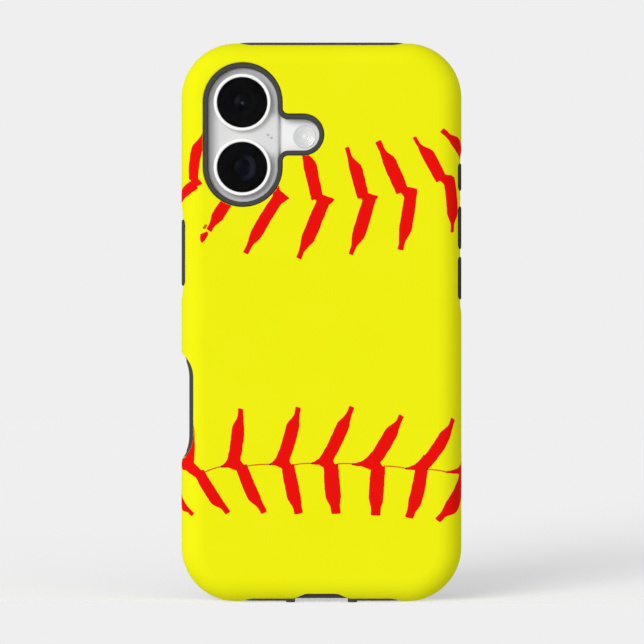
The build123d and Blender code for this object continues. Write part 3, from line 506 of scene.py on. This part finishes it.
def shell_place(across, height):
    """Nominal point and outward normal of the shell at an unrolled place."""
    side = math.copysign(1.0, across)
    beyond = abs(across) - flat_half
    if beyond <= 0:
        return Vector((across, shell_back, height)), Vector((0, -1, 0))
    if beyond <= arc_length:
        turned = beyond / edge_round
        normal = Vector((side * math.sin(turned), -math.cos(turned), 0))
        centre = Vector((side * flat_half, shell_back + edge_round, height))
        return centre + edge_round * normal, normal
    depth = shell_back + edge_round + beyond - arc_length
    return Vector((side * shell_flank, depth, height)), Vector((side, 0, 0))


def on_shell(across, height, deepest=deepest_print):
    """The printed surface and its normal at an unrolled place, or None where the shell is cut away."""
    point, normal = shell_place(across, height)
    hit = shell_tree.ray_cast(point + probe_height * normal, -normal, probe_height + deepest)
    if hit[0] is None:
        return None
    return hit[0], normal


def leg(start, end, width, tail, tail_side, bow, narrowing):
    """Outline of one leg of a stitch: broad from its start, drawn in on one side to a tail at its end."""
    start, end = Vector(start), Vector(end)
    along = (end - start).normalized()
    right = Vector((along.y, -along.x))
    length = (end - start).length
    edges = ([], [])
    stations = 18
    swelling = 0.07
    for station in range(stations + 1):
        share = station / stations
        drawn = min(1.0, max(0.0, (share - narrowing[0]) / (narrowing[1] - narrowing[0])))
        drawn = drawn * drawn * (3 - 2 * drawn)
        full = width / 2 * (1 + swelling * math.sin(math.pi * share))
        half = full + (tail / 2 - full) * drawn - corner_round
        aside = tail_side * (width - tail) / 2 * drawn + bow * 4 * share * (1 - share)
        middle = start + along * (length * share) + right * aside
        edges[0].append(middle + right * half)
        edges[1].append(middle - right * half)
    return edges[0] + edges[1][::-1]


def polygon_distance(points, outline):
    """Signed distance from points to an outline: negative inside."""
    tiny = 1e-12
    corners = np.array([tuple(corner) for corner in outline])
    nearest = np.full(len(points), np.inf)
    inside = np.zeros(len(points), bool)
    for first, second in zip(corners, np.roll(corners, -1, axis=0)):
        edge = second - first
        offset = points - first
        share = np.clip(offset @ edge / max(edge @ edge, tiny), 0, 1)
        nearest = np.minimum(nearest, np.hypot(*(offset - share[:, None] * edge).T))
        crosses = (first[1] > points[:, 1]) != (second[1] > points[:, 1])
        rise = edge[1] if edge[1] else tiny
        inside ^= crosses & (points[:, 0] < first[0] + (points[:, 1] - first[1]) * edge[0] / rise)
    return np.where(inside, -nearest, nearest)


def wobble(points, seed):
    """Slow and quick unevenness of a hand-cut edge, between about -1 and 1."""
    slow_rate, quick_rate = 0.7, 2.1
    quick_seed = seed + 40
    quick_share = 0.5
    slow = [noise.noise(Vector((slow_rate * x, slow_rate * z, seed))) for x, z in points]
    quick = [noise.noise(Vector((quick_rate * x, quick_rate * z, quick_seed))) for x, z in points]
    return np.array(slow) + quick_share * np.array(quick)


def ink_field(outlines, seed, grow, uneven, deepest):
    """A function of unrolled places, below zero where there is ink: near an outline and on the shell."""
    def field(points):
        level = np.min([polygon_distance(points, outline) for outline in outlines], axis=0) - grow
        level = level + uneven * wobble(points, seed)
        for index in np.flatnonzero(level < 0):
            if on_shell(*points[index], deepest) is None:
                level[index] = 1.0
        return level
    return field


def edge_points(inner, outer, field):
    """Where the ink's edge crosses each line from an inner to an outer point, by halving."""
    inner, outer = np.array(inner), np.array(outer)
    halvings = 9
    for _ in range(halvings):
        middle = (inner + outer) / 2
        inked = field(middle) < 0
        inner = np.where(inked[:, None], middle, inner)
        outer = np.where(inked[:, None], outer, middle)
    return inner


def print_ink(name, outlines, seed, material="ink", grow=corner_round, uneven=edge_wobble, cell=ink_cell,
              deepest=deepest_print):
    """A thin closed layer of ink on the shell, inside the outlines."""
    field = ink_field(outlines, seed, grow, uneven, deepest)
    corners = np.array([tuple(corner) for outline in outlines for corner in outline])
    low = corners.min(axis=0) - 2 * grow - uneven
    high = corners.max(axis=0) + 2 * grow + uneven
    counts = np.ceil((high - low) / cell).astype(int) + 1
    columns, rows = int(counts[0]), int(counts[1])
    grid = np.array([(low[0] + i * cell, low[1] + j * cell) for i in range(columns) for j in range(rows)])
    inked = (field(grid) < 0).reshape(columns, rows)
    grid = grid.reshape(columns, rows, 2)

    loops = []
    crossings = {}
    for i in range(columns - 1):
        for j in range(rows - 1):
            around = [(i, j), (i + 1, j), (i + 1, j + 1), (i, j + 1)]
            loop = []
            for this, following in zip(around, around[1:] + around[:1]):
                if inked[this]:
                    loop.append(this)
                if inked[this] != inked[following]:
                    pair = (this, following) if inked[this] else (following, this)
                    crossings.setdefault(pair, len(crossings))
                    loop.append(pair)
            if loop:
                loops.append(loop)
    if not loops:
        return None
    ends = edge_points([grid[a] for a, b in crossings], [grid[b] for a, b in crossings], field)

    layer = bmesh.new()
    tops, bottoms = {}, {}
    for key in {key for loop in loops for key in loop}:
        spot = ends[crossings[key]] if key in crossings else grid[key]
        point, normal = on_shell(*spot)
        tops[key] = layer.verts.new((point + ink_lift * normal) * MM)
        bottoms[key] = layer.verts.new((point - ink_sink * normal) * MM)
    sides = {}
    for loop in loops:
        layer.faces.new([tops[key] for key in loop]).smooth = True
        layer.faces.new([bottoms[key] for key in reversed(loop)])
        for pair in zip(loop, loop[1:] + loop[:1]):
            if pair[::-1] in sides:
                del sides[pair[::-1]]
            else:
                sides[pair] = True
    for first, second in sides:
        layer.faces.new([tops[second], tops[first], bottoms[first], bottoms[second]])
        layer.edges.get((tops[first], tops[second])).smooth = False
    bmesh.ops.recalc_face_normals(layer, faces=layer.faces)
    return add_piece(name, layer, material, BODY)


# Each stitch's places are (across, height) in mm on the unrolled shell. A bow or a tail's side is positive
# to the right as seen along the leg, which runs from the joint or start to the top or end.

UpperStitch = namedtuple(
    "UpperStitch",
    "top joint tip start end upper_width lower_width tail upper_bow lower_bow upper_side lower_side",
)
upper_seam = [
    UpperStitch((-31.6, 129.6), (-35.15, 115.6), (-32.5, 114.6), (-34.6, 114.4), (-44.3, 109.6),
                3.1, 3.0, 1.8, -1.05, -0.1, 1.0, 1.0),
    UpperStitch((-27.5, 128.0), (-25.2, 113.2), (-21.0, 112.5), (-24.1, 112.0), (-30.6, 102.0),
                2.9, 3.1, 1.6, 0.0, 0.15, -1.0, 0.0),
    UpperStitch((-15.5, 125.6), (-12.75, 112.2), (-8.8, 110.6), (-11.5, 111.1), (-20.4, 95.6),
                2.9, 3.1, 1.5, 0.0, 0.35, -1.0, 0.35),
    UpperStitch((-4.6, 126.2), (-1.2, 110.6), (3.5, 110.2), (0.75, 110.2), (-5.8, 94.3),
                3.3, 3.5, 1.5, 0.0, 0.05, -0.85, 0.35),
    UpperStitch((7.7, 124.4), (11.3, 111.0), (15.45, 111.0), (13.3, 110.9), (8.35, 95.35),
                3.25, 3.4, 1.3, 0.1, -0.05, -0.75, 0.25),
    UpperStitch((16.0, 126.1), (21.95, 112.6), (26.1, 112.9), (24.5, 112.6), (21.9, 96.7),
                3.5, 3.3, 1.7, 0.1, -0.1, -0.6, 0.4),
    UpperStitch((26.1, 127.4), (32.6, 115.85), (36.1, 116.6), (35.0, 116.1), (36.1, 101.6),
                3.25, 3.7, 1.1, 0.15, -0.55, -0.75, 0.1),
    UpperStitch((33.4, 129.4), (42.6, 120.4), (45.6, 120.8), (44.4, 120.5), (46.6, 106.0),
                3.3, 3.0, 1.5, 0.35, 0.0, -0.6, 1.0),
]

LowerStitch = namedtuple(
    "LowerStitch",
    "top joint start end upper_width lower_width tail upper_bow lower_bow lower_side foot toe_rise",
)
lower_seam = [
    LowerStitch((-50.0, 46.9), (-47.0, 32.8), (-46.1, 31.8), (-35.9, 23.75),
                2.8, 2.75, 1.3, 0.0, 0.1, -1.0, 2.9, -0.35),
    LowerStitch((-36.8, 52.5), (-36.45, 37.2), (-33.35, 35.6), (-26.2, 24.5),
                2.9, 2.95, 1.6, 0.4, 0.2, -1.0, 4.2, 0.1),
    LowerStitch((-22.5, 52.95), (-24.0, 38.0), (-21.85, 37.2), (-16.35, 24.75),
                3.25, 3.2, 1.7, 0.3, 0.2, -0.85, 3.7, -0.6),
    LowerStitch((-6.85, 53.45), (-10.8, 38.5), (-9.2, 37.5), (-6.5, 24.7),
                3.4, 3.5, 2.4, 0.4, 0.1, -0.5, 3.7, -0.55),
    LowerStitch((7.8, 53.65), (1.05, 38.6), (2.6, 37.7), (3.7, 24.75),
                3.3, 3.95, 2.5, 0.35, 0.15, -0.3, 4.1, -0.4),
    LowerStitch((21.3, 51.35), (13.6, 38.05), (15.5, 37.2), (14.75, 24.3),
                3.45, 3.8, 2.7, 0.45, 0.15, -0.15, 5.6, 0.0),
    LowerStitch((35.85, 50.35), (27.55, 37.2), (27.2, 36.3), (23.95, 23.6),
                3.15, 3.45, 2.3, 0.7, -0.5, 0.1, 4.8, -0.4),
    LowerStitch((47.4, 45.4), (41.4, 36.1), (41.6, 34.9), (32.4, 22.4),
                3.0, 4.5, 1.8, 0.0, -0.6, 0.5, 7.65, -0.3),
]
early_narrowing = (0.56, 0.84)
late_narrowing = (0.64, 0.90)
upper_tail = 1.5
upper_tail_side = 0.5

# How a stitch's two legs are joined, in mm: by a small point in the upper seam, by a foot in the lower one
point_run = 3.4
point_shoulder = Vector((0.4, 1.0))
toe_inset = 0.5
instep_rise = 0.2
shin_run = 2.8
sole_run = 2.2
sole_right = Vector((0.9, 0.1))
sole_corner = Vector((1.1, -0.7))
sole_left = Vector((-0.8, -0.9))
heel_share = 0.4
heel_drop = 0.5

# Where the thread leaves one stitch and enters the next, and how far it rises between, in mm
thread_leave = Vector((1.6, 0.3))
thread_enter = Vector((0.1, 0))
thread_rise = Vector((0, 0.35))


def curve(first, control, last, steps=6):
    """Points along a quadratic curve."""
    points = []
    for step in range(steps + 1):
        share = step / steps
        points.append(first.lerp(control, share).lerp(control.lerp(last, share), share))
    return points


def upper_stitch(stitch):
    """Outlines of a stitch of the upper seam: two legs and the small point where they meet."""
    upper = leg(stitch.joint, stitch.top, stitch.upper_width, stitch.tail,
                stitch.upper_side, stitch.upper_bow, early_narrowing)
    lower = leg(stitch.start, stitch.end, stitch.lower_width, stitch.tail,
                stitch.lower_side, stitch.lower_bow, late_narrowing)
    joint, start, tip = Vector(stitch.joint), Vector(stitch.start), Vector(stitch.tip)
    down = (Vector(stitch.end) - start).normalized()
    inset = Vector((corner_round, 0))
    point = [tip - inset, start + point_run * down + inset, joint - inset, joint + point_shoulder]
    return [upper, lower, point]


def toe_of(stitch):
    """Where the foot of a stitch of the lower seam ends and the thread begins."""
    return Vector(stitch.joint) + Vector((toe_inset - stitch.foot, stitch.toe_rise))


def lower_stitch(stitch):
    """Outlines of a stitch of the lower seam: two legs, and the foot that runs out into the thread."""
    upper = leg(stitch.joint, stitch.top, stitch.upper_width, upper_tail,
                upper_tail_side, stitch.upper_bow, late_narrowing)
    lower = leg(stitch.start, stitch.end, stitch.lower_width, stitch.tail,
                stitch.lower_side, stitch.lower_bow, late_narrowing)
    joint, start = Vector(stitch.joint), Vector(stitch.start)
    rise = (Vector(stitch.top) - joint).normalized()
    inside = stitch.upper_width / 2 - corner_round
    instep = joint + Vector((-inside, instep_rise))
    shin = joint + shin_run * rise + inside * Vector((-rise.y, rise.x))
    heel = joint - Vector((heel_share * stitch.foot, heel_drop))
    sole = [joint + sole_run * rise, start + sole_right, start + sole_corner, start + sole_left, heel]
    return [upper, lower, curve(toe_of(stitch), instep, shin) + sole]


def thread_outline(first, second):
    """Line of the short stretch of thread from one stitch of the lower seam to the next, there and back."""
    begin = Vector(first.start) + thread_leave
    end = toe_of(second) + thread_enter
    line = curve(begin, (begin + end) / 2 + thread_rise, end)
    return line + line[-2:0:-1]


# Stitches that reach an opening follow its rounded edge in finer cells, and end at the finger notch
cut_upper_stitches = {1, 2, 3, 4, 8}
notched_lower_stitches = {0, 1}

# The stitch below the finger notch runs round the edge on a broad foot
broad_footed = 1
broad_foot = [(-41.2, 37.6), (-39.8, 39.0), (-37.0, 39.8), (-35.8, 38.5), (-35.4, 36.7), (-39.8, 36.5)]

# Seeds of the edges' unevenness
upper_seed_step = 3.1
lower_seed, lower_seed_step = 60, 2.7
thread_seed = 100
blot_seed, flake_seed = 130, 131

for number, stitch in enumerate(upper_seam, start=1):
    cell = fine_ink_cell if number in cut_upper_stitches else ink_cell
    print_ink(f"upper_stitch_{number}", upper_stitch(stitch), upper_seed_step * number, cell=cell)
for number, stitch in enumerate(lower_seam):
    notched = number in notched_lower_stitches
    cell = fine_ink_cell if notched else ink_cell
    deepest = shallow_print if notched else deepest_print
    outlines = lower_stitch(stitch)
    if number == broad_footed:
        outlines.append(broad_foot)
    seed = lower_seed + lower_seed_step * number
    print_ink(f"lower_stitch_{number}", outlines, seed, cell=cell, deepest=deepest)
for number in range(1, len(lower_seam) - 1):
    dash = thread_outline(lower_seam[number], lower_seam[number + 1])
    print_ink(f"seam_thread_{number}", [dash], thread_seed + number,
              "thread_ink", thread_round, thread_wobble, thread_cell)

# The broken end of one stitch: a blot and a flake beyond its tail
blot = [
    (-31.3, 101.2), (-32.8, 100.6), (-32.8, 99.2), (-32.6, 98.7),
    (-32.3, 99.0), (-31.7, 99.8), (-31.2, 100.6),
]
flake = [(-31.65, 103.15), (-31.4, 103.1), (-31.85, 102.55), (-32.1, 102.5)]
print_ink("ink_blot", [blot], blot_seed)
print_ink("ink_flake", [flake], flake_seed, "thread_ink")


# Turned details about an axis along Y

def turned_piece(name, profile, centre, material, body, segments=96):
    """A closed piece turned about Y from a profile of (radius, depth) points in mm."""
    on_axis = 1e-6
    maker = bmesh.new()
    rings = []
    for radius, depth in profile:
        if radius < on_axis:
            rings.append([maker.verts.new((centre.x, depth * MM, centre.z))])
            continue
        ring = []
        for step in range(segments):
            angle = 2 * math.pi * step / segments
            x = centre.x + radius * MM * math.cos(angle)
            z = centre.z + radius * MM * math.sin(angle)
            ring.append(maker.verts.new((x, depth * MM, z)))
        rings.append(ring)
    closed = min(radius for radius, depth in profile) > on_axis
    followers = rings[1:] + rings[:1] if closed else rings[1:]
    for ring, following in zip(rings, followers):
        for step in range(segments):
            corner = (step + 1) % segments
            loop = []
            for vertex in (ring[step % len(ring)], ring[corner % len(ring)],
                           following[corner % len(following)], following[step % len(following)]):
                if vertex not in loop:
                    loop.append(vertex)
            maker.faces.new(loop)
    bmesh.ops.recalc_face_normals(maker, faces=maker.faces)
    return add_piece(name, maker, material, body)


# Black print under each lens cover, round the barrel's mouth
mask_inner, mask_outer = 4.3, 6.88
mask_gap, mask_depth = 0.005, 0.03
for place_name in lens_places:
    cover = f"{place_name}_lens_cover"
    cover_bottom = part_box(cover)[1].y / MM
    back, front = cover_bottom + mask_gap, cover_bottom + mask_gap + mask_depth
    ring_profile = [(mask_inner, back), (mask_outer, back), (mask_outer, front), (mask_inner, front)]
    mask_name = f"{place_name}_lens_mask"
    turned_piece(mask_name, ring_profile, middle_of(cover), "lens_mask", BODY)

# Fine mesh just inside the rear microphone's two holes
mic_hole_radius = 0.33
mic_hole_steps = (0.475, 0.40)
mic_back, mic_front = -4.04, -3.98
mic_segments = 24
mic_middle = middle_of("rear_microphone")
for number, side in enumerate((-1, 1), start=1):
    hole = mic_middle + Vector((side * mic_hole_steps[0], 0, -side * mic_hole_steps[1])) * MM
    disc = [(0.0, mic_back), (mic_hole_radius, mic_back), (mic_hole_radius, mic_front), (0.0, mic_front)]
    turned_piece(f"microphone_mesh_{number}", disc, hole, "mic_mesh", BODY, mic_segments)

# Flash lens with its fine rings
flash_low, flash_high = (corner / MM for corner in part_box("flash_lens"))
flash_radius = (flash_high.x - flash_low.x) / 2
flash_dome = 0.75
flash_rim = 0.25
flash_rim_drop = 0.02
ring_count = 4
ring_drop = 0.01
groove_depth = 0.12
groove_share = 0.15
ring_step = (flash_radius - flash_rim - flash_dome) / ring_count
flash_profile = [(0.0, flash_low.y), (flash_dome, flash_low.y + groove_depth / 2)]
for ring_number in range(ring_count):
    inner = flash_dome + ring_step * ring_number
    flash_profile.append((inner + groove_share * ring_step, flash_low.y + groove_depth))
    flash_profile.append((inner + ring_step, flash_low.y + ring_drop))
flash_profile.append((flash_radius, flash_low.y + flash_rim_drop))
flash_profile += [(flash_radius, flash_high.y), (0.0, flash_high.y)]
flash_middle = middle_of("flash_lens")
flash = turned_piece("flash_ringed_lens", flash_profile, flash_middle, "flash_lens", BODY)
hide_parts("flash_lens")


# Floor, light and camera

def floor_material(reach, front_fade, glow):
    """White floor that keeps the shadow, and fades out far from the object and in front of it."""
    far_start, far_end = 0.45 * reach, 0.95 * reach
    material, tree, shader = new_material("floor")
    where = place(tree)
    patches = noise_at(tree, where, scale=3.0)
    tone = blend_tones(tree, patches, (0.897, 0.897, 0.897), (0.903, 0.903, 0.903))
    tree.links.new(tone, shader.inputs["Base Color"])
    shader.inputs["Roughness"].default_value = 1.0
    shader.inputs["Specular IOR Level"].default_value = 0.0
    shader.inputs["Emission Color"].default_value = (1.0, 1.0, 1.0, 1.0)
    path = tree.nodes.new("ShaderNodeLightPath")
    shown_glow = remap(tree, path.outputs["Is Camera Ray"], 0, 1, 0, glow)
    tree.links.new(shown_glow, shader.inputs["Emission Strength"])
    distance = tree.nodes.new("ShaderNodeVectorMath")
    distance.operation = "LENGTH"
    tree.links.new(where, distance.inputs[0])
    far = remap(tree, distance.outputs["Value"], far_start, far_end, 1.0, 0.0)
    behind = remap(tree, split_axes(tree, where)["Y"], front_fade[0] * MM, front_fade[1] * MM, 0.0, 1.0)
    tree.links.new(combine(tree, "MULTIPLY", far, behind), shader.inputs["Alpha"])
    return material


floor_reach = 1.6
floor_fade = (-6.5, 10.0)
floor_glow = 0.238
floor_drop = 0.05
floor_mesh = bmesh.new()
bmesh.ops.create_circle(floor_mesh, cap_ends=True, radius=floor_reach, segments=64)
floor = add_object("floor", floor_mesh, floor_material(floor_reach, floor_fade, floor_glow))
floor.location.z = -floor_drop * MM

to_light = Vector((-0.52, -0.78, 0.35))
sun_data = bpy.data.lights.new("sun", "SUN")
sun_data.energy = 1.75
sun_data.angle = math.radians(34)
sun = bpy.data.objects.new("sun", sun_data)
sun.rotation_mode = "QUATERNION"
sun.rotation_quaternion = to_light.to_track_quat("Z", "Y")
bpy.context.scene.collection.objects.link(sun)


def light_world(seen, ambient, right_share, top_share, low_share):
    """Pale surroundings as seen or reflected, and a fill light that dims at the right, above and below."""
    right_range = (0.80, 1.04)
    above_range = (0.31, 1.07)
    below_range = (-0.12, -0.71)
    world = bpy.data.worlds.new("studio")
    world.use_nodes = True
    tree = world.node_tree
    fill = add_node(tree, "ShaderNodeBackground", Color=(ambient, ambient, ambient, 1.0))
    direction = tree.nodes.new("ShaderNodeTexCoord")
    axes = split_axes(tree, direction.outputs["Generated"])
    right = remap(tree, axes["X"], *right_range, 1.0, right_share)
    above = remap(tree, axes["Z"], *above_range, 1.0, top_share)
    below = remap(tree, axes["Z"], *below_range, 1.0, low_share)
    level = combine(tree, "MULTIPLY", combine(tree, "MULTIPLY", right, above), below)
    tree.links.new(level, fill.inputs["Strength"])
    backdrop = tree.nodes["Background"]
    backdrop.inputs["Color"].default_value = (seen, seen, seen, 1.0)
    path = tree.nodes.new("ShaderNodeLightPath")
    shown = path.outputs["Is Camera Ray"]
    for ray in ("Is Glossy Ray", "Is Transmission Ray"):
        shown = combine(tree, "MAXIMUM", shown, path.outputs[ray])
    mix = tree.nodes.new("ShaderNodeMixShader")
    tree.links.new(shown, mix.inputs["Fac"])
    tree.links.new(fill.outputs["Background"], mix.inputs[1])
    tree.links.new(backdrop.outputs["Background"], mix.inputs[2])
    tree.links.new(mix.outputs["Shader"], tree.nodes["World Output"].inputs["Surface"])
    bpy.context.scene.world = world


light_world(seen=0.863, ambient=0.779, right_share=0.22, top_share=0.29, low_share=0.60)

# The camera stands level behind the case, at half its height
camera_distance = 760.0 * MM
view_width = 175.7 * MM
view_centre_x = 0.14 * MM
view_centre_z = 76.8 * MM
camera_data = bpy.data.cameras.new("camera")
camera_data.sensor_width = 36.0
camera_data.lens = camera_data.sensor_width * camera_distance / view_width
camera = bpy.data.objects.new("camera", camera_data)
camera.location = (view_centre_x, cad_box[0].y - camera_distance, view_centre_z)
camera.rotation_euler = (math.pi / 2, 0, 0)
bpy.context.scene.collection.objects.link(camera)
bpy.context.scene.camera = camera
bpy.context.scene.view_settings.view_transform = "Standard"
